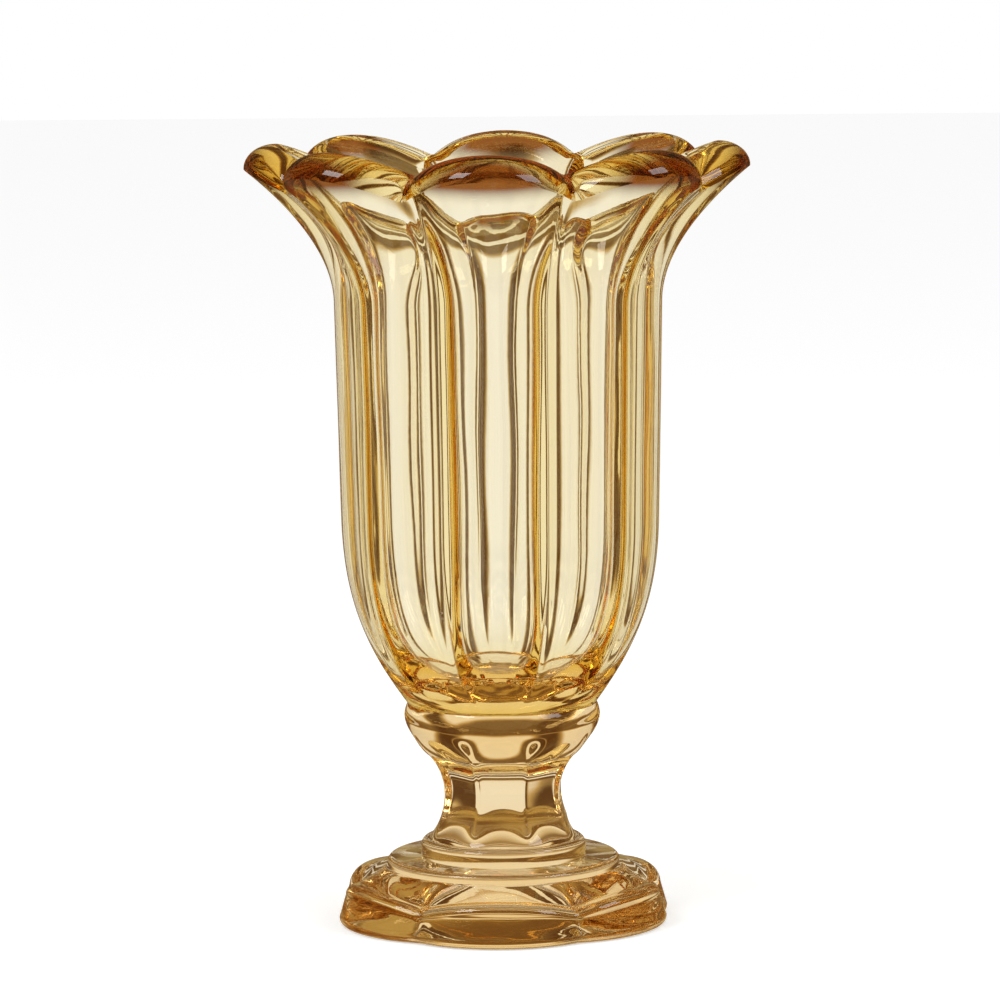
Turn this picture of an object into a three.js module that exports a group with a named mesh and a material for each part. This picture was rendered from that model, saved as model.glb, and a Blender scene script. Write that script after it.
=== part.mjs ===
// A footed vase of thick pressed glass with a handkerchief mouth, in millimetres, +Z up.
// The origin is the middle of the face that it stands on, and -Y is the front.
import * as THREE from 'three';
import { mergeVertices } from 'three/addons/utils/BufferGeometryUtils.js';

// Foot: a thick plate whose lobes stand out and up between low notches
const footLobes = 6;
const footLobeRadius = 65.4;
const footNotchRadius = 61.8;
const footLobeHeight = 16.6;
const footNotchHeight = 12.6;
const footThickness = 20.6;
const footBevel = 2.2;
const footDraft = 2.5;
const footEdgeRound = 4.2;

// Shoulder: two round steps that carry the stem
const lowerStepRadius = 44.6;
const lowerStepHeight = 3.7;
const lowerStepRound = 2.2;
const upperStepRadius = 31.6;
const upperStepHeight = 7.1;
const upperStepRound = 3.1;

// Stem: drawn in at the waist, and round at its foot before its flat sides begin. The radii run
// to the middle of a side.
const stemSides = 8;
const stemRoundHeight = 8;
const stemFootRadius = 28.3;
const stemTopRadius = 27.4;
const stemHeight = 32.9;
const stemFootPull = new THREE.Vector2(-7.5, 8.8);
const stemTopPull = new THREE.Vector2(8.1, 9.4);

// Collar: it has the stem's sides below and is round where it carries the bowl
const collarHeight = 19.3;
const collarStemPull = new THREE.Vector2(9.1, 7.7);
const collarSeatPull = new THREE.Vector2(-3.1, 6);
const collarRoundHeight = 11;

// Bowl: fluted outside and folded more deeply inside, so the wall is thin in the middle of a
// petal and thick between two petals. Its bottom is heavy.
const petals = 8;
const bowlSeatRadius = 36.3;
const bowlHeight = 214.4;
const bellyRadius = 60.9;
const bellyHeight = 70;
const neckRadius = 62.6;
const neckHeight = 155;
const fluteDepth = 2.2;
const foldDepth = 9;
const wall = 5.5;
const floorHeight = 6;
const seatPull = new THREE.Vector2(12.3, 17.2);
const bellyPull = new THREE.Vector2(1, 35);
const neckPull = new THREE.Vector2(0.7, 19);
const basinPull = new THREE.Vector2(0.8, 43);
const floorPull = new THREE.Vector2(38, 0);

// Mouth: a petal's lip stands out and up, and the lip in a notch lies in and down
const petalLipRadius = 96.3;
const petalLipDrop = 9.2;
const petalLipRise = 9.2;
const notchLipRadius = 83;
const notchLipDrop = 17.4;
const notchLipRise = 9;
const lipWidth = 12;
const lipPull = new THREE.Vector2(16, 13);
const crestPull = new THREE.Vector2(8, 8);
const insideNeckPull = new THREE.Vector2(0.4, 22);

// How finely the surfaces are divided
const petalSegments = 12;
const lobeSegments = 12;
const sideSegments = 6;
const stepSegments = 64;
const curveSteps = 7;
const roundSteps = 4;
const mergeTolerance = 1e-3;

// Pressed glass, straw where it is thin and amber where it is thick
const glassFinish = { roughness: 0.05, metalness: 0, transparent: true, opacity: 0.75 };
const footColor = '#c08a3a';
const shoulderColor = '#b8843a';
const stemColor = '#d9a040';
const collarColor = '#8a5a2a';
const bowlColor = '#e3cf8e';

// Heights where one piece rests on the next
const shoulderBase = footThickness;
const stemBase = shoulderBase + lowerStepHeight + upperStepHeight;
const collarBase = stemBase + stemHeight;
const bowlBase = collarBase + collarHeight;

const at = (radius, height) => new THREE.Vector2(radius, height);

// A curve that leaves one point along its first pull and reaches the other along its second.
function bend(from, leaving, reaching, to) {
  const first = from.clone().add(leaving);
  const second = to.clone().sub(reaching);
  return new THREE.CubicBezierCurve(from, first, second, to).getPoints(curveSteps);
}

// A quarter of an ellipse, from its widest point up to its highest.
function roundOver(middle, width, height) {
  const quarter = Math.PI / 2;
  const ellipse = new THREE.EllipseCurve(middle.x, middle.y, width, height, 0, quarter);
  return ellipse.getPoints(roundSteps);
}

// The radius on the line between two flat sides, from the radius to the middle of a side.
const cornerRadius = (radius, sides) => radius / Math.cos(Math.PI / sides);

// How far a direction lies from the middle of its panel: 0 there, and 1 between two panels.
// It grows as the radius of a flat side does, so it draws flat sides, flutes and petals.
function panelShare(angle, panels) {
  const half = Math.PI / panels;
  const turn = Math.abs(((angle + half) % (2 * half)) - half);
  return (1 / Math.cos(turn) - 1) / (1 / Math.cos(half) - 1);
}

// The body between two half sections with as many points each, one through the middle of
// the panels and one between the panels. Both start and end on the axis.
function panelledBody(middles, borders, panels, segmentsPerPanel) {
  const segments = panels * segmentsPerPanel;
  const ring = (row) => Array.from({ length: segments }, (_, column) => {
    const angle = (2 * Math.PI * column) / segments;
    const point = middles[row].clone().lerp(borders[row], panelShare(angle, panels));
    return new THREE.Vector3(point.x * Math.sin(angle), -point.x * Math.cos(angle), point.y);
  });
  const rings = middles.map((_, row) => ring(row));
  const last = rings.length - 1;
  const corners = [];
  for (let row = 0; row < last; row += 1) {
    for (let column = 0; column < segments; column += 1) {
      const next = (column + 1) % segments;
      const [low, lowNext] = [rings[row][column], rings[row][next]];
      const [high, highNext] = [rings[row + 1][column], rings[row + 1][next]];
      if (row > 0) corners.push(low, lowNext, highNext);
      if (row < last - 1 || row === 0) corners.push(low, highNext, high);
    }
  }
  return closedGeometry(corners);
}

// Triangles with their shared corners merged.
function closedGeometry(corners) {
  const loose = new THREE.BufferGeometry().setFromPoints(corners);
  const geometry = mergeVertices(loose, mergeTolerance);
  geometry.computeVertexNormals();
  return geometry;
}

function glassPiece(name, geometry, color) {
  const mesh = new THREE.Mesh(geometry, new THREE.MeshStandardMaterial({ color, ...glassFinish }));
  mesh.name = name;
  return mesh;
}

// Half section of the foot, from the middle of its underside out to the edge and back over
// the top to the seat of the shoulder.
function footSection(radius, edgeHeight) {
  const edge = at(radius - footDraft - footEdgeRound, edgeHeight - footEdgeRound);
  return [
    at(0, 0),
    at(radius - footBevel, 0),
    at(radius, footBevel),
    ...roundOver(edge, footEdgeRound, footEdgeRound),
    at(lowerStepRadius, footThickness),
    at(0, footThickness),
  ];
}

function makeFoot() {
  const lobe = footSection(footLobeRadius, footLobeHeight);
  const notch = footSection(footNotchRadius, footNotchHeight);
  return glassPiece('foot', panelledBody(lobe, notch, footLobes, lobeSegments), footColor);
}

function makeShoulder() {
  const lowerTop = shoulderBase + lowerStepHeight;
  const upperTop = lowerTop + upperStepHeight;
  const lowerEdge = at(lowerStepRadius - lowerStepRound, lowerTop - lowerStepRound);
  const upperEdge = at(upperStepRadius - upperStepRound, upperTop - upperStepRound);
  const profile = [
    at(0, shoulderBase),
    at(lowerStepRadius, shoulderBase),
    ...roundOver(lowerEdge, lowerStepRound, lowerStepRound),
    at(upperStepRadius, lowerTop),
    ...roundOver(upperEdge, upperStepRound, upperStepRound),
    at(0, upperTop),
  ];
  return glassPiece('shoulder', panelledBody(profile, profile, stepSegments, 1), shoulderColor);
}

// The line between two sides: sharp where the roundness is 0, and round where it is 1.
function softenedCorner(point, roundness) {
  const softness = THREE.MathUtils.smoothstep(roundness, 0, 1);
  const sharp = cornerRadius(point.x, stemSides);
  return at(THREE.MathUtils.lerp(sharp, point.x, softness), point.y);
}

// The stem's corners fade in as it rises from its round foot.
function makeStem() {
  const foot = at(stemFootRadius, stemBase);
  const top = at(stemTopRadius, collarBase);
  const side = [at(0, stemBase), ...bend(foot, stemFootPull, stemTopPull, top)];
  side.push(at(0, collarBase));
  const corner = side.map((point) => (
    softenedCorner(point, 1 - (point.y - stemBase) / stemRoundHeight)
  ));
  return glassPiece('stem', panelledBody(side, corner, stemSides, sideSegments), stemColor);
}

// The collar's corners fade out as it rises from the stem to its round part.
function makeCollar() {
  const stemEdge = at(stemTopRadius, collarBase);
  const seat = at(bowlSeatRadius, bowlBase);
  const side = [at(0, collarBase), ...bend(stemEdge, collarStemPull, collarSeatPull, seat)];
  side.push(at(0, bowlBase));
  const corner = side.map((point) => (
    softenedCorner(point, (point.y - collarBase) / collarRoundHeight)
  ));
  return glassPiece('collar', panelledBody(side, corner, stemSides, sideSegments), collarColor);
}

// Half section of the bowl, from the middle of its seat up the outside, over the lip and
// down the inside to the middle of its floor.
function bowlSection(lipRadius, lipDrop, lipRise, fluteIn, foldIn) {
  const seat = at(bowlSeatRadius, bowlBase);
  const belly = at(bellyRadius - fluteIn, bowlBase + bellyHeight);
  const neck = at(neckRadius - fluteIn, bowlBase + neckHeight);
  const lip = at(lipRadius, bowlBase + bowlHeight - lipDrop);
  const crest = at(lipRadius - lipWidth, lip.y + lipRise);
  const insideNeck = at(neckRadius - wall - foldIn, neck.y);
  const insideBelly = at(bellyRadius - wall - foldIn, belly.y);
  const floor = at(0, bowlBase + floorHeight);
  return [
    at(0, bowlBase),
    ...bend(seat, seatPull, bellyPull, belly),
    ...bend(neck, neckPull, lipPull, lip),
    ...roundOver(at(crest.x, lip.y), lipWidth, lipRise).slice(1),
    ...bend(crest, crestPull.clone().negate(), insideNeckPull.clone().negate(), insideNeck).slice(1),
    ...bend(insideBelly, basinPull.clone().negate(), floorPull.clone().negate(), floor),
  ];
}

function makeBowl() {
  const petal = bowlSection(petalLipRadius, petalLipDrop, petalLipRise, 0, 0);
  const notch = bowlSection(notchLipRadius, notchLipDrop, notchLipRise, fluteDepth, foldDepth);
  return glassPiece('bowl', panelledBody(petal, notch, petals, petalSegments), bowlColor);
}

const vase = new THREE.Group();
vase.add(makeFoot(), makeShoulder(), makeStem(), makeCollar(), makeBowl());

export default vase;
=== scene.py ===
import math

import bpy
from mathutils import Matrix, Vector, noise
from mathutils.geometry import interpolate_bezier


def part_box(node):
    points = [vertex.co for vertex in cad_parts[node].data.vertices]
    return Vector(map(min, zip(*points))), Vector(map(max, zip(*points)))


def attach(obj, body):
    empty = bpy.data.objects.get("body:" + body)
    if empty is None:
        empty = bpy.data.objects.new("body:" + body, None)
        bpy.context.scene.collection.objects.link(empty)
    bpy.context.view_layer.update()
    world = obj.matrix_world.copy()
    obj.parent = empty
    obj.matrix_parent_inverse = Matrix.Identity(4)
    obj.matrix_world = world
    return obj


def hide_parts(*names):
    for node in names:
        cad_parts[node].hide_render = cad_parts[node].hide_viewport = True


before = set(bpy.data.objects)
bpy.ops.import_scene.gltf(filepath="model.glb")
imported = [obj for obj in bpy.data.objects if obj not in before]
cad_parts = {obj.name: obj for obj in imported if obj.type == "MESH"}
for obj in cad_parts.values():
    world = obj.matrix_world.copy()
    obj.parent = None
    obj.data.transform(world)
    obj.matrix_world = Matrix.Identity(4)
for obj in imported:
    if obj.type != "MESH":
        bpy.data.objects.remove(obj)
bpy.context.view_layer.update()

# Camera: a long lens two metres away and a little above the mouth. It stands slightly to the
# right of the vase's front and is tilted by half a degree, as in the photo.
camera_distance = 1.986
camera_height = 0.4095
camera_turn = math.radians(2.3)
camera_tilt = math.radians(-0.58)
aim_height = 0.1614
lens_length = 188.6

lens = bpy.data.cameras.new("studio_camera")
lens.lens = lens_length
lens.sensor_width = 36
camera = bpy.data.objects.new("studio_camera", lens)
bpy.context.scene.collection.objects.link(camera)
bpy.context.scene.camera = camera
camera.location = (
    camera_distance * math.sin(camera_turn),
    -camera_distance * math.cos(camera_turn),
    camera_height,
)
looking = Vector((0, 0, aim_height)) - camera.location
aimed = looking.to_track_quat("-Z", "Y").to_matrix()
camera.rotation_euler = (aimed @ Matrix.Rotation(camera_tilt, 3, "Z")).to_euler()

# Foot: one thick pressed plate of amber glass. Six lobes stand out and up between low notches,
# and the face under it is ground flat so that the vase stands steady.
foot_lobes = 6
lobe_radius = 0.0654
lobe_edge_height = 0.0166
foot_notch_radius = 0.0618
foot_notch_height = 0.0126
foot_draft = 0.0025
foot_edge_round = 0.0042
foot_bevel = 0.0022
foot_bevel_pull = 0.0014
lobe_columns = 48
lobe_crease = 0.03
foot_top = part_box("foot")[1].z
lower_step_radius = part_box("shoulder")[1].x
near_axis = 0.0006
same_place = 1e-6
crease_angle = math.radians(38)
ripple_turns = 5
ripple_rise = 22
ripple_rows = 60
melt_gap = 0.00001
amber = (0.9, 0.64, 0.05, 1)
foot_tint = 11


def point(radius, height):
    return Vector((radius, height))


def straight(start, end, steps):
    return [start.lerp(end, step / steps) for step in range(steps + 1)]


def bend(start, leaving, reaching, end, steps):
    """A curve that leaves one point along its first pull and reaches the other along its second."""
    return interpolate_bezier(start, start + leaving, end - reaching, end, steps + 1)


def rounded(centre, width, height, steps):
    """A quarter of an ellipse, from its widest point up to its highest."""
    turns = [math.pi / 2 * step / steps for step in range(steps + 1)]
    return [centre + point(width * math.cos(turn), height * math.sin(turn)) for turn in turns]


def chain(*runs):
    """The runs end to end, with the points that they share written once."""
    outline = list(runs[0])
    for run in runs[1:]:
        shared = (outline[-1] - run[0]).length < same_place
        outline += run[1:] if shared else run
    return outline


def panel_share(turn, panels, softness):
    """0 in the middle of a panel and 1 between two panels, with the crease there rounded."""
    half = math.pi / panels
    from_border = half - abs((turn + half) % (2 * half) - half)

    def rise(distance):
        return 1 / math.cos(half - math.hypot(distance, softness)) - 1

    return (rise(from_border) - rise(half)) / (rise(0) - rise(half))


def pressed(name, middles, borders, panels, columns, softness=0.02, wave=0.0):
    """A closed body between a half section through the panels and one between them.

    A wave lets the skin ripple inwards. The ripple runs on from row to row, so that it isn't the
    same on the two sides of a wall.
    """
    corners = []
    for row, (middle, border) in enumerate(zip(middles, borders)):
        if row in (0, len(middles) - 1):
            corners.append((0, 0, middle.y))
            continue
        for column in range(columns):
            turn = 2 * math.pi * column / columns
            spot = middle.lerp(border, panel_share(turn, panels, softness))
            around = (ripple_turns * math.sin(turn), ripple_turns * math.cos(turn))
            ripple = noise.noise((*around, ripple_rise * spot.y + row / ripple_rows))
            radius = spot.x - wave * (0.5 + 0.5 * ripple)
            corners.append((radius * math.sin(turn), -radius * math.cos(turn), spot.y))
    faces = []
    last = len(corners) - 1
    for column in range(columns):
        after = (column + 1) % columns
        faces.append((0, 1 + after, 1 + column))
        faces.append((last, last - columns + column, last - columns + after))
        for row in range(len(middles) - 3):
            low, high = 1 + row * columns, 1 + (row + 1) * columns
            faces.append((low + column, low + after, high + after, high + column))
    mesh = bpy.data.meshes.new(name)
    mesh.from_pydata(corners, [], faces)
    mesh.shade_smooth()
    mesh.set_sharp_from_angle(angle=crease_angle)
    piece = bpy.data.objects.new(name, mesh)
    bpy.context.scene.collection.objects.link(piece)
    return piece


def melt_together(piece, seats):
    """Marks the flat faces where a piece is melted to the next one, so no skin shows there.

    A seat is its height, a radius that the melted faces lie within, and the way out of this
    piece: 1 is up and -1 is down. The faces are drawn back by a hair so that they don't coincide.
    """
    mesh = piece.data
    melted = mesh.attributes.new("melted", "FLOAT", "FACE")
    for height, radius, outward in seats:
        level = {
            corner.index for corner in mesh.vertices if abs(corner.co.z - height) < same_place
        }
        for face in mesh.polygons:
            if level.issuperset(face.vertices) and face.center.to_2d().length < radius:
                melted.data[face.index].value = 1
        for corner in level:
            mesh.vertices[corner].co.z -= outward * melt_gap


def shader_group(name, inputs, outputs):
    group = bpy.data.node_groups.new(name, "ShaderNodeTree")
    for socket, value in inputs.items():
        made = group.interface.new_socket(socket, in_out="INPUT", socket_type="NodeSocketFloat")
        made.default_value = value
    for socket, kind in outputs.items():
        group.interface.new_socket(socket, in_out="OUTPUT", socket_type=kind)
    return group, group.nodes.new("NodeGroupInput"), group.nodes.new("NodeGroupOutput")


def spot_noise(group, stretch):
    """Noise on the piece itself, drawn out along the axis as glass flows in the press."""
    place = group.nodes.new("ShaderNodeTexCoord")
    drawn = group.nodes.new("ShaderNodeMapping")
    drawn.inputs["Scale"].default_value = (1, 1, stretch)
    grain = group.nodes.new("ShaderNodeTexNoise")
    group.links.new(place.outputs["Object"], drawn.inputs["Vector"])
    group.links.new(drawn.outputs["Vector"], grain.inputs["Vector"])
    return grain


noise_middle = (0.3, 0.7)


def between(group, source, low, high):
    """A value that runs from low to high over the middle of the noise."""
    spread = group.nodes.new("ShaderNodeMapRange")
    spread.inputs["From Min"].default_value, spread.inputs["From Max"].default_value = noise_middle
    group.links.new(source, spread.inputs["Value"])
    for socket, value in (("To Min", low), ("To Max", high)):
        if isinstance(value, (int, float)):
            spread.inputs[socket].default_value = value
        else:
            group.links.new(value, spread.inputs[socket])
    return spread.outputs["Result"]


# The skin of pressed glass: long shallow waves from the cooling mould, over fine unevenness
long_stretch = 0.3
fine_stretch = 0.7
fine_scale = 260
fine_share = 0.015
skin_waves, given, result = shader_group(
    "skin_waves", {"Waves": 40.0, "Fine": fine_share}, {"Height": "NodeSocketFloat"}
)
long_waves = spot_noise(skin_waves, long_stretch)
long_waves.inputs["Detail"].default_value = 1
skin_waves.links.new(given.outputs["Waves"], long_waves.inputs["Scale"])
fine_waves = spot_noise(skin_waves, fine_stretch)
fine_waves.inputs["Scale"].default_value = fine_scale
both_waves = skin_waves.nodes.new("ShaderNodeMath")
both_waves.operation = "MULTIPLY_ADD"
skin_waves.links.new(fine_waves.outputs["Fac"], both_waves.inputs[0])
skin_waves.links.new(given.outputs["Fine"], both_waves.inputs[1])
skin_waves.links.new(long_waves.outputs["Fac"], both_waves.inputs[2])
skin_waves.links.new(both_waves.outputs[0], result.inputs["Height"])

# Streaks where the melt wasn't fully stirred: the straw tone turns a little deeper
streak_scale = 14.0
streak_stretch = 0.15
pale_streak = (1.0, 0.995, 0.98, 1)
deep_streak = (0.99, 0.975, 0.93, 1)
melt_streaks, given, result = shader_group(
    "melt_streaks", {"Streaks": streak_scale}, {"Tone": "NodeSocketColor"}
)
streaks = spot_noise(melt_streaks, streak_stretch)
streaks.inputs["Detail"].default_value = 3
melt_streaks.links.new(given.outputs["Streaks"], streaks.inputs["Scale"])
tone = melt_streaks.nodes.new("ShaderNodeMix")
tone.data_type = "RGBA"
tone.inputs["A"].default_value = pale_streak
tone.inputs["B"].default_value = deep_streak
melt_streaks.links.new(between(melt_streaks, streaks.outputs["Fac"], 0, 1), tone.inputs["Factor"])
melt_streaks.links.new(tone.outputs["Result"], result.inputs["Tone"])

# Polish that years of handling have dulled in small patches
dull_patch_scale = 70
handled_polish, given, result = shader_group(
    "handled_polish", {"Polished": 0.0, "Dulled": 0.03}, {"Roughness": "NodeSocketFloat"}
)
patches = spot_noise(handled_polish, 1.0)
patches.inputs["Scale"].default_value = dull_patch_scale
patches.inputs["Detail"].default_value = 6
dulling = between(
    handled_polish, patches.outputs["Fac"], given.outputs["Polished"], given.outputs["Dulled"]
)
handled_polish.links.new(dulling, result.inputs["Roughness"])


def placed(tree, group, **values):
    node = tree.nodes.new("ShaderNodeGroup")
    node.node_tree = group
    for socket, value in values.items():
        node.inputs[socket].default_value = value
    return node


glass_index = 1.51


def amber_glass(name, waves, wave_height, dulled, tint, density):
    """Clear amber glass: straw where light crosses little of it, brown where it crosses much."""
    glass = bpy.data.materials.new(name)
    glass.use_nodes = True
    tree = glass.node_tree
    surface = tree.nodes["Principled BSDF"]
    surface.inputs["Transmission Weight"].default_value = 1
    surface.inputs["IOR"].default_value = glass_index

    streaked = placed(tree, melt_streaks, Streaks=streak_scale)
    tree.links.new(streaked.outputs["Tone"], surface.inputs["Base Color"])
    polish = placed(tree, handled_polish, Polished=0.0, Dulled=dulled)
    tree.links.new(polish.outputs["Roughness"], surface.inputs["Roughness"])
    skin = placed(tree, skin_waves, Waves=waves, Fine=fine_share)
    relief = tree.nodes.new("ShaderNodeBump")
    relief.inputs["Distance"].default_value = wave_height
    tree.links.new(skin.outputs["Height"], relief.inputs["Height"])
    tree.links.new(relief.outputs["Normal"], surface.inputs["Normal"])

    melted = tree.nodes.new("ShaderNodeAttribute")
    melted.attribute_name = "melted"
    skin_there = tree.nodes.new("ShaderNodeMath")
    skin_there.operation = "SUBTRACT"
    skin_there.inputs[0].default_value = 1
    tree.links.new(melted.outputs["Fac"], skin_there.inputs[1])
    tree.links.new(skin_there.outputs[0], surface.inputs["Alpha"])

    melt = tree.nodes.new("ShaderNodeVolumeAbsorption")
    melt.inputs["Color"].default_value = tint
    melt.inputs["Density"].default_value = density
    tree.links.new(melt.outputs["Volume"], tree.nodes["Material Output"].inputs["Volume"])
    return glass


def foot_section(radius, edge_height):
    edge = point(radius - foot_draft - foot_edge_round, edge_height - foot_edge_round)
    side = point(radius, foot_bevel)
    under = point(radius - foot_bevel, 0)
    over_edge = rounded(edge, foot_edge_round, foot_edge_round, 10)
    seat_edge = point(lower_step_radius, foot_top)
    return chain(
        [point(0, 0)],
        straight(point(near_axis, 0), under, 8),
        bend(under, point(foot_bevel_pull, 0), point(0, foot_bevel_pull), side, 5),
        straight(side, over_edge[0], 8),
        over_edge,
        straight(over_edge[-1], seat_edge, 10),
        straight(seat_edge, point(near_axis, foot_top), 6),
        [point(0, foot_top)],
    )


foot = pressed(
    "foot_lobed_plate",
    foot_section(lobe_radius, lobe_edge_height),
    foot_section(foot_notch_radius, foot_notch_height),
    foot_lobes,
    foot_lobes * lobe_columns,
    softness=lobe_crease,
)
melt_together(foot, [(foot_top, lower_step_radius, 1)])
foot.data.materials.append(
    amber_glass(
        "foot_glass", waves=40.0, wave_height=0.0003, dulled=0.003, tint=amber, density=foot_tint
    )
)
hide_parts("foot")
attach(foot, "root")

# Shoulder: two round steps of solid glass, pressed as one piece with soft edges. It is melted
# to the plate below and carries the stem.
lower_step_height = 0.0037
lower_step_round = 0.0022
upper_step_radius = 0.0316
upper_step_round = 0.0031
stem_foot_radius = 0.0283
step_panels = 8
step_columns = 36
shoulder_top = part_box("shoulder")[1].z

lower_top = foot_top + lower_step_height
lower_edge = point(lower_step_radius - lower_step_round, lower_top - lower_step_round)
upper_edge = point(upper_step_radius - upper_step_round, shoulder_top - upper_step_round)
over_lower = rounded(lower_edge, lower_step_round, lower_step_round, 10)
over_upper = rounded(upper_edge, upper_step_round, upper_step_round, 10)
inner_corner = point(upper_step_radius, lower_top)
stem_seat = point(stem_foot_radius, shoulder_top)
shoulder_side = chain(
    [point(0, foot_top)],
    straight(point(near_axis, foot_top), point(lower_step_radius, foot_top), 6),
    straight(point(lower_step_radius, foot_top), over_lower[0], 3),
    over_lower,
    straight(over_lower[-1], inner_corner, 5),
    straight(inner_corner, over_upper[0], 4),
    over_upper,
    [stem_seat],
    straight(stem_seat, point(near_axis, shoulder_top), 6),
    [point(0, shoulder_top)],
)
shoulder = pressed(
    "shoulder_two_steps", shoulder_side, shoulder_side, step_panels, step_panels * step_columns
)
melt_together(shoulder, [(foot_top, lower_step_radius, -1), (shoulder_top, stem_foot_radius, 1)])
shoulder.data.materials.append(
    amber_glass(
        "shoulder_glass", waves=60.0, wave_height=0.0005, dulled=0.005, tint=amber, density=foot_tint
    )
)
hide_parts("shoulder")
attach(shoulder, "root")

# Stem: a short shank of solid glass, drawn in at the waist. Its foot is round and turns into
# eight flat sides, which are fire polished, so that the edges between them are soft.
stem_sides = 8
stem_round_height = 0.008
stem_top_radius = 0.0274
stem_foot_pull = point(-0.0075, 0.0088)
stem_top_pull = point(0.0081, 0.0094)
side_columns = 28
stem_tint = 17
stem_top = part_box("stem")[1].z


def softened_corner(spot, roundness):
    """A place between two sides: sharp at 0, and as far out as the sides' middles at 1."""
    sharp = spot.x / math.cos(math.pi / stem_sides)
    eased = roundness * roundness * (3 - 2 * roundness)
    return point(sharp + (spot.x - sharp) * eased, spot.y)


stem_side = chain(
    [point(0, shoulder_top)],
    straight(point(near_axis, shoulder_top), point(stem_foot_radius, shoulder_top), 5),
    bend(
        point(stem_foot_radius, shoulder_top),
        stem_foot_pull,
        stem_top_pull,
        point(stem_top_radius, stem_top),
        60,
    ),
    straight(point(stem_top_radius, stem_top), point(near_axis, stem_top), 5),
    [point(0, stem_top)],
)
stem_corner = [
    softened_corner(spot, max(1 - (spot.y - shoulder_top) / stem_round_height, 0))
    for spot in stem_side
]
stem = pressed("stem_eight_sided", stem_side, stem_corner, stem_sides, stem_sides * side_columns)
melt_together(
    stem, [(shoulder_top, 2 * stem_foot_radius, -1), (stem_top, 2 * stem_top_radius, 1)]
)
stem.data.materials.append(
    amber_glass(
        "stem_glass", waves=60.0, wave_height=0.0005, dulled=0.005, tint=amber, density=stem_tint
    )
)
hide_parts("stem")
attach(stem, "root")

# Collar: the solid knop under the bowl. It starts with the stem's eight sides, and its corners
# fade out as it swells into a round bead that the bowl sits on.
collar_round_height = 0.011
collar_seat_radius = 0.0363
collar_stem_pull = point(0.0091, 0.0077)
collar_seat_pull = point(-0.0031, 0.006)
collar_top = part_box("collar")[1].z

collar_side = chain(
    [point(0, stem_top)],
    straight(point(near_axis, stem_top), point(stem_top_radius, stem_top), 5),
    bend(
        point(stem_top_radius, stem_top),
        collar_stem_pull,
        collar_seat_pull,
        point(collar_seat_radius, collar_top),
        48,
    ),
    straight(point(collar_seat_radius, collar_top), point(near_axis, collar_top), 5),
    [point(0, collar_top)],
)

collar_corner = [
    softened_corner(spot, min((spot.y - stem_top) / collar_round_height, 1)) for spot in collar_side
]
collar = pressed(
    "collar_knop", collar_side, collar_corner, stem_sides, stem_sides * side_columns
)
melt_together(
    collar, [(stem_top, 2 * stem_top_radius, -1), (collar_top, 2 * collar_seat_radius, 1)]
)
collar.data.materials.append(
    amber_glass(
        "collar_glass", waves=60.0, wave_height=0.0005, dulled=0.005, tint=amber, density=stem_tint
    )
)
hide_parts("collar")
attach(collar, "root")

# Bowl: a tall pressed cup with eight flutes outside and deeper folds inside. Its thick lip is
# drawn out and folded over into eight petals, and its bottom is heavy solid glass.
petals = 8
belly_radius = 0.0609
belly_height = 0.07
neck_radius = 0.0626
neck_height = 0.155
flute_depth = 0.0022
fold_depth = 0.009
wall = 0.0055
floor_height = 0.006
lip_width = 0.012
petal_lip = {"lip_radius": 0.0963, "lip_drop": 0.0092, "lip_rise": 0.0092}
notch_lip = {"lip_radius": 0.083, "lip_drop": 0.0174, "lip_rise": 0.009}
wall_wave = 0.0003
seat_pull = point(0.0123, 0.0172)
belly_pull = point(0.001, 0.035)
neck_pull = point(0.0007, 0.019)
lip_pull = point(0.016, 0.013)
crest_pull = point(-0.008, -0.008)
inside_neck_pull = point(-0.0004, -0.022)
basin_pull = point(-0.0008, -0.043)
floor_pull = point(-0.038, 0)
petal_columns = 40
lip_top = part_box("bowl")[1].z
bowl_tint = 29
bowl_amber = (0.92, 0.73, 0.03, 1)
# Painted shade at the petal tips: the radii where it begins and where it is full, and its brown
tip_start = 0.085
tip_end = 0.0935
tip_painted_shade = (0.09, 0.012, 0.001, 1)


def bowl_section(lip_radius, lip_drop, lip_rise, flute_in, fold_in):
    seat = point(collar_seat_radius, collar_top)
    belly = point(belly_radius - flute_in, collar_top + belly_height)
    neck = point(neck_radius - flute_in, collar_top + neck_height)
    lip = point(lip_radius, lip_top - lip_drop)
    crest = point(lip_radius - lip_width, lip.y + lip_rise)
    inside_neck = point(neck_radius - wall - fold_in, neck.y)
    inside_belly = point(belly_radius - wall - fold_in, belly.y)
    floor = point(near_axis, collar_top + floor_height)
    return chain(
        [point(0, collar_top)],
        straight(point(near_axis, collar_top), seat, 5),
        bend(seat, seat_pull, belly_pull, belly, 50),
        straight(belly, neck, 24),
        bend(neck, neck_pull, lip_pull, lip, 44),
        rounded(point(crest.x, lip.y), lip_width, lip_rise, 26),
        bend(crest, crest_pull, inside_neck_pull, inside_neck, 44),
        straight(inside_neck, inside_belly, 24),
        bend(inside_belly, basin_pull, floor_pull, floor, 50),
        [point(0, floor.y)],
    )


bowl = pressed(
    "bowl_folded_petals",
    bowl_section(**petal_lip, flute_in=0, fold_in=0),
    bowl_section(**notch_lip, flute_in=flute_depth, fold_in=fold_depth),
    petals,
    petals * petal_columns,
    wave=wall_wave,
)
melt_together(bowl, [(collar_top, 2 * collar_seat_radius, -1)])
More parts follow.
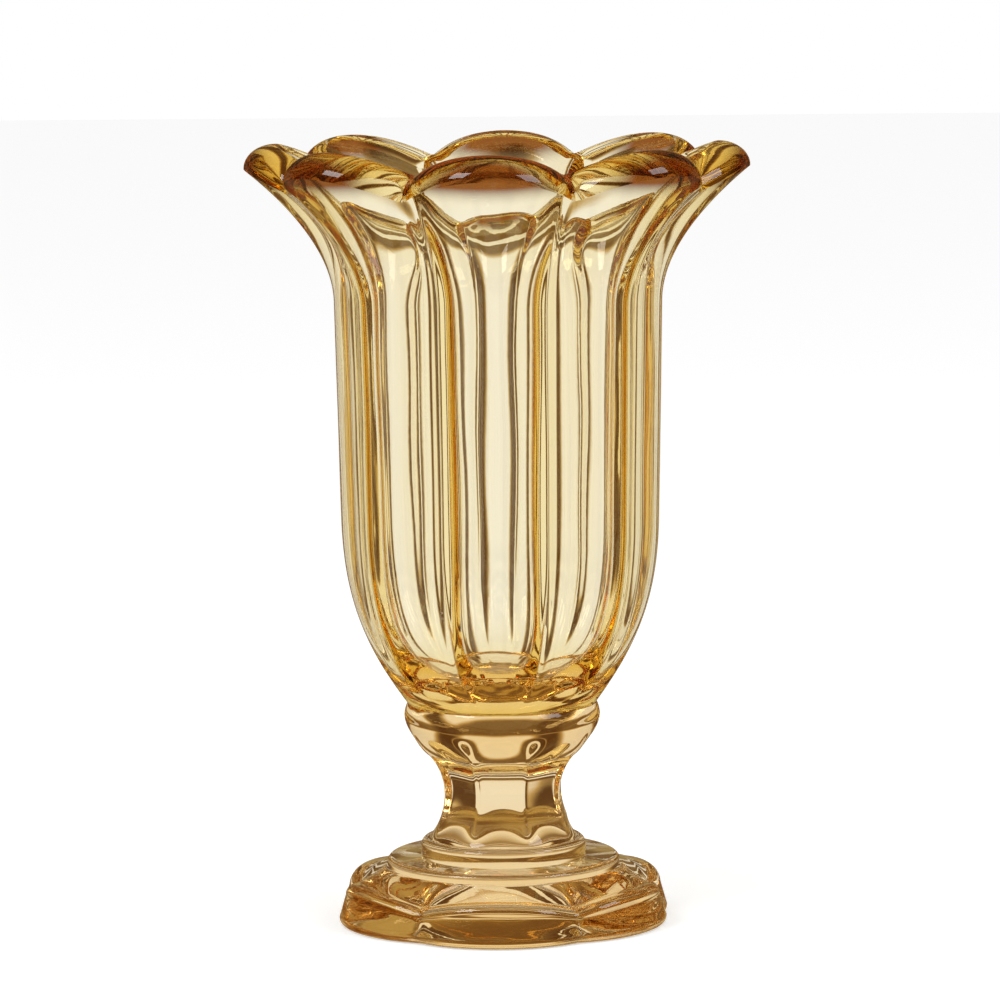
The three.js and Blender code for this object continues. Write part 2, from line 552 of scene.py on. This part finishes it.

# Painted shade: towards the petal tips the base colour turns deep brown, standing in for the light
# that enters a tip and runs far along the lip
petal_tip_shade, given, result = shader_group(
    "petal_tip_shade", {"Start": tip_start, "End": tip_end}, {"Share": "NodeSocketFloat"}
)
place = petal_tip_shade.nodes.new("ShaderNodeTexCoord")
level = petal_tip_shade.nodes.new("ShaderNodeVectorMath")
level.operation = "MULTIPLY"
level.inputs[1].default_value = (1, 1, 0)
outward = petal_tip_shade.nodes.new("ShaderNodeVectorMath")
outward.operation = "LENGTH"
near_tip = petal_tip_shade.nodes.new("ShaderNodeMapRange")
near_tip.interpolation_type = "SMOOTHSTEP"
petal_tip_shade.links.new(place.outputs["Object"], level.inputs[0])
petal_tip_shade.links.new(level.outputs["Vector"], outward.inputs[0])
petal_tip_shade.links.new(outward.outputs["Value"], near_tip.inputs["Value"])
petal_tip_shade.links.new(given.outputs["Start"], near_tip.inputs["From Min"])
petal_tip_shade.links.new(given.outputs["End"], near_tip.inputs["From Max"])
petal_tip_shade.links.new(near_tip.outputs["Result"], result.inputs["Share"])

bowl_glass = amber_glass(
    "bowl_glass", waves=40.0, wave_height=0.0006, dulled=0.005, tint=bowl_amber, density=bowl_tint
)
tree = bowl_glass.node_tree
base_color = tree.nodes["Principled BSDF"].inputs["Base Color"]
# Mixes the painted shade of the petal tips into the glass's base colour
tip_shaded = tree.nodes.new("ShaderNodeMix")
tip_shaded.data_type = "RGBA"
tip_shaded.inputs["B"].default_value = tip_painted_shade
tree.links.new(base_color.links[0].from_socket, tip_shaded.inputs["A"])
tips = placed(tree, petal_tip_shade, Start=tip_start, End=tip_end)
tree.links.new(tips.outputs["Share"], tip_shaded.inputs["Factor"])
tree.links.new(tip_shaded.outputs["Result"], base_color)
bowl.data.materials.append(bowl_glass)
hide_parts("bowl")
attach(bowl, "root")

# Studio: a table under white paper and a white backdrop, lit by two soft boxes. Brown boards with
# golden edges stand round the vase with white between them, and strips of light lie above them,
# which draws brown and golden lines in clear glass.
scene = bpy.context.scene
scene.view_settings.view_transform = "Standard"
scene.cycles.max_bounces = 24
scene.cycles.transmission_bounces = 24
scene.cycles.glossy_bounces = 16
scene.cycles.transparent_max_bounces = 32

room_light = 0.9
board_count = 8
board_edge = (-0.95, -0.2)
dim_band = (0.14, 0.2)
dim_brightness = 0.1
overhead = (0.66, 0.8)
board_brown = (0.11, 0.05, 0.018, 1)
board_gold = (0.58, 0.41, 0.18, 1)
stripe_count = 44
stripe_edge = (0.2, 0.6)
mirrored_share = 0.15


def seen_by(tree, *kinds):
    """1 for rays of these kinds, and 0 for the others."""
    path = tree.nodes.new("ShaderNodeLightPath")
    mask = path.outputs[kinds[0]]
    for kind in kinds[1:]:
        mask = combined(tree, "MAXIMUM", mask, path.outputs[kind])
    return mask


def combined(tree, operation, *values):
    node = tree.nodes.new("ShaderNodeMath")
    node.operation = operation
    for socket, value in zip(node.inputs, values):
        if isinstance(value, (int, float)):
            socket.default_value = value
        else:
            tree.links.new(value, socket)
    return node.outputs[0]


def faded(tree, value, edge, start, end):
    """Start before the edge begins, end after it, and a soft step between them."""
    step = tree.nodes.new("ShaderNodeMapRange")
    step.interpolation_type = "SMOOTHSTEP"
    step.inputs["From Min"].default_value, step.inputs["From Max"].default_value = edge
    step.inputs["To Min"].default_value = start
    step.inputs["To Max"].default_value = end
    tree.links.new(value, step.inputs["Value"])
    return step.outputs["Result"]


def board_tone(tree, brightness):
    """White where the studio is bright, golden at a board's edge, and brown where it is dark."""
    shade = tree.nodes.new("ShaderNodeValToRGB")
    shade.color_ramp.elements[0].color = board_brown
    shade.color_ramp.elements[1].color = (1, 1, 1, 1)
    shade.color_ramp.elements.new(0.5).color = board_gold
    tree.links.new(brightness, shade.inputs["Fac"])
    return shade.outputs["Color"]


def less_in_mirrors(tree, view):
    """The view's brightness, lower where the glass only mirrors it, so dark glass stays deep."""
    passing = seen_by(tree, "Is Transmission Ray")
    mirrored = combined(tree, "SUBTRACT", seen_by(tree, "Is Glossy Ray"), passing)
    kept = combined(tree, "MINIMUM", 1, combined(tree, "SUBTRACT", 1 + mirrored_share, mirrored))
    return combined(tree, "MULTIPLY", view.outputs["Brightness"], kept)


# How bright the studio is in a direction: white between the boards, dim above them but for strips
# of light, and white again overhead, where the light comes through a silk
studio_view = bpy.data.node_groups.new("studio_view", "ShaderNodeTree")
studio_view.interface.new_socket("Direction", in_out="INPUT", socket_type="NodeSocketVector")
studio_view.interface.new_socket("Brightness", in_out="OUTPUT", socket_type="NodeSocketFloat")
looked = studio_view.nodes.new("NodeGroupInput")
unit = studio_view.nodes.new("ShaderNodeVectorMath")
unit.operation = "NORMALIZE"
studio_view.links.new(looked.outputs["Direction"], unit.inputs[0])
way = studio_view.nodes.new("ShaderNodeSeparateXYZ")
studio_view.links.new(unit.outputs["Vector"], way.inputs["Vector"])
bearing = combined(studio_view, "ARCTAN2", way.outputs["X"], way.outputs["Y"])
swing = combined(studio_view, "COSINE", combined(studio_view, "MULTIPLY", bearing, board_count))
between_boards = faded(studio_view, swing, board_edge, 0, 1)
above_boards = faded(studio_view, way.outputs["Z"], dim_band, 1, dim_brightness)
silk = faded(studio_view, way.outputs["Z"], overhead, 0, 1)
stripe_wave = combined(
    studio_view, "COSINE", combined(studio_view, "MULTIPLY", way.outputs["Z"], stripe_count)
)
stripes = faded(studio_view, stripe_wave, stripe_edge, 0, 1)
higher = faded(studio_view, way.outputs["Z"], dim_band, 0, 1)
upper_lights = combined(studio_view, "MULTIPLY", stripes, higher)
brightness = studio_view.nodes.new("NodeGroupOutput")
studio_view.links.new(
    combined(
        studio_view,
        "MAXIMUM",
        combined(studio_view, "MAXIMUM", silk, upper_lights),
        combined(studio_view, "MULTIPLY", between_boards, above_boards),
    ),
    brightness.inputs["Brightness"],
)

room = bpy.data.worlds.new("studio_room")
room.use_nodes = True
scene.world = room
tree = room.node_tree
tree.nodes.clear()
facing = tree.nodes.new("ShaderNodeTexCoord")
around = placed(tree, studio_view)
tree.links.new(facing.outputs["Generated"], around.inputs["Direction"])
shown = tree.nodes.new("ShaderNodeBackground")
shown_brightness = combined(
    tree, "MAXIMUM", seen_by(tree, "Is Camera Ray"), less_in_mirrors(tree, around)
)
tree.links.new(board_tone(tree, shown_brightness), shown.inputs["Color"])
lighting = tree.nodes.new("ShaderNodeBackground")
lighting.inputs["Strength"].default_value = room_light
either = tree.nodes.new("ShaderNodeMixShader")
visible = seen_by(tree, "Is Camera Ray", "Is Glossy Ray", "Is Transmission Ray")
tree.links.new(visible, either.inputs["Fac"])
tree.links.new(lighting.outputs["Background"], either.inputs[1])
tree.links.new(shown.outputs["Background"], either.inputs[2])
room_output = tree.nodes.new("ShaderNodeOutputWorld")
tree.links.new(either.outputs["Shader"], room_output.inputs["Surface"])

# The paper on the table is white to the camera. Through the glass it shows the boards' view, and
# close to the foot the amber light that the glass throws on it in soft patches
table_reach = 6.0
table_level = -0.0002
table_white = 0.9
table_glow = 0.3
near_foot = (0.066, 0.082)
near_dark = (0.2, 0.11, 0.04, 1)
near_bright = (0.52, 0.39, 0.16, 1)
patch_scale = 50
patch_edge = (0.38, 0.62)
table_mesh = bpy.data.meshes.new("studio_table")
table_mesh.from_pydata(
    [
        (x * table_reach, y * table_reach, table_level)
        for x, y in ((-1, -1), (1, -1), (1, 1), (-1, 1))
    ],
    [],
    [(0, 1, 2, 3)],
)
table = bpy.data.objects.new("studio_table", table_mesh)
scene.collection.objects.link(table)
paper = bpy.data.materials.new("white_paper")
paper.use_nodes = True
tree = paper.node_tree
sheet = tree.nodes["Principled BSDF"]
sheet.inputs["Base Color"].default_value = (table_white, table_white, table_white, 1)
sheet.inputs["Roughness"].default_value = 0.9
sheet.inputs["Specular IOR Level"].default_value = 0
sheet.inputs["Emission Strength"].default_value = table_glow
tree.links.new(seen_by(tree, "Is Camera Ray"), sheet.inputs["Emission Color"])
where = tree.nodes.new("ShaderNodeNewGeometry")
distance = tree.nodes.new("ShaderNodeVectorMath")
distance.operation = "LENGTH"
tree.links.new(where.outputs["Position"], distance.inputs[0])
around = placed(tree, studio_view)
tree.links.new(where.outputs["Position"], around.inputs["Direction"])
bright = tree.nodes.new("ShaderNodeEmission")
under_vase = tree.nodes.new("ShaderNodeMix")
under_vase.data_type = "RGBA"
light_patches = tree.nodes.new("ShaderNodeMix")
light_patches.data_type = "RGBA"
light_patches.inputs["A"].default_value = near_dark
light_patches.inputs["B"].default_value = near_bright
thrown = tree.nodes.new("ShaderNodeTexNoise")
thrown.inputs["Scale"].default_value = patch_scale
thrown.inputs["Detail"].default_value = 0
tree.links.new(where.outputs["Position"], thrown.inputs["Vector"])
tree.links.new(
    faded(tree, thrown.outputs["Fac"], patch_edge, 0, 1), light_patches.inputs["Factor"]
)
tree.links.new(light_patches.outputs["Result"], under_vase.inputs["A"])
tree.links.new(board_tone(tree, less_in_mirrors(tree, around)), under_vase.inputs["B"])
tree.links.new(
    faded(tree, distance.outputs["Value"], near_foot, 0, 1), under_vase.inputs["Factor"]
)
tree.links.new(under_vase.outputs["Result"], bright.inputs["Color"])
through = tree.nodes.new("ShaderNodeMixShader")
tree.links.new(seen_by(tree, "Is Glossy Ray", "Is Transmission Ray"), through.inputs["Fac"])
tree.links.new(sheet.outputs["BSDF"], through.inputs[1])
tree.links.new(bright.outputs["Emission"], through.inputs[2])
tree.links.new(through.outputs["Shader"], tree.nodes["Material Output"].inputs["Surface"])
table_mesh.materials.append(paper)


lamps_aim = Vector((0, 0, 0.15))


def soft_box(name, place, size, watts):
    """A square lamp that points at the middle of the vase."""
    lamp = bpy.data.lights.new(name, "AREA")
    lamp.size = size
    lamp.energy = watts
    box = bpy.data.objects.new(name, lamp)
    scene.collection.objects.link(box)
    box.location = place
    box.rotation_euler = (lamps_aim - box.location).to_track_quat("-Z", "Y").to_euler()


soft_box("soft_box_left", Vector((-1.2, -1.0, 1.6)), size=0.8, watts=12)
soft_box("soft_box_right", Vector((1.4, -0.6, 1.2)), size=0.8, watts=8)
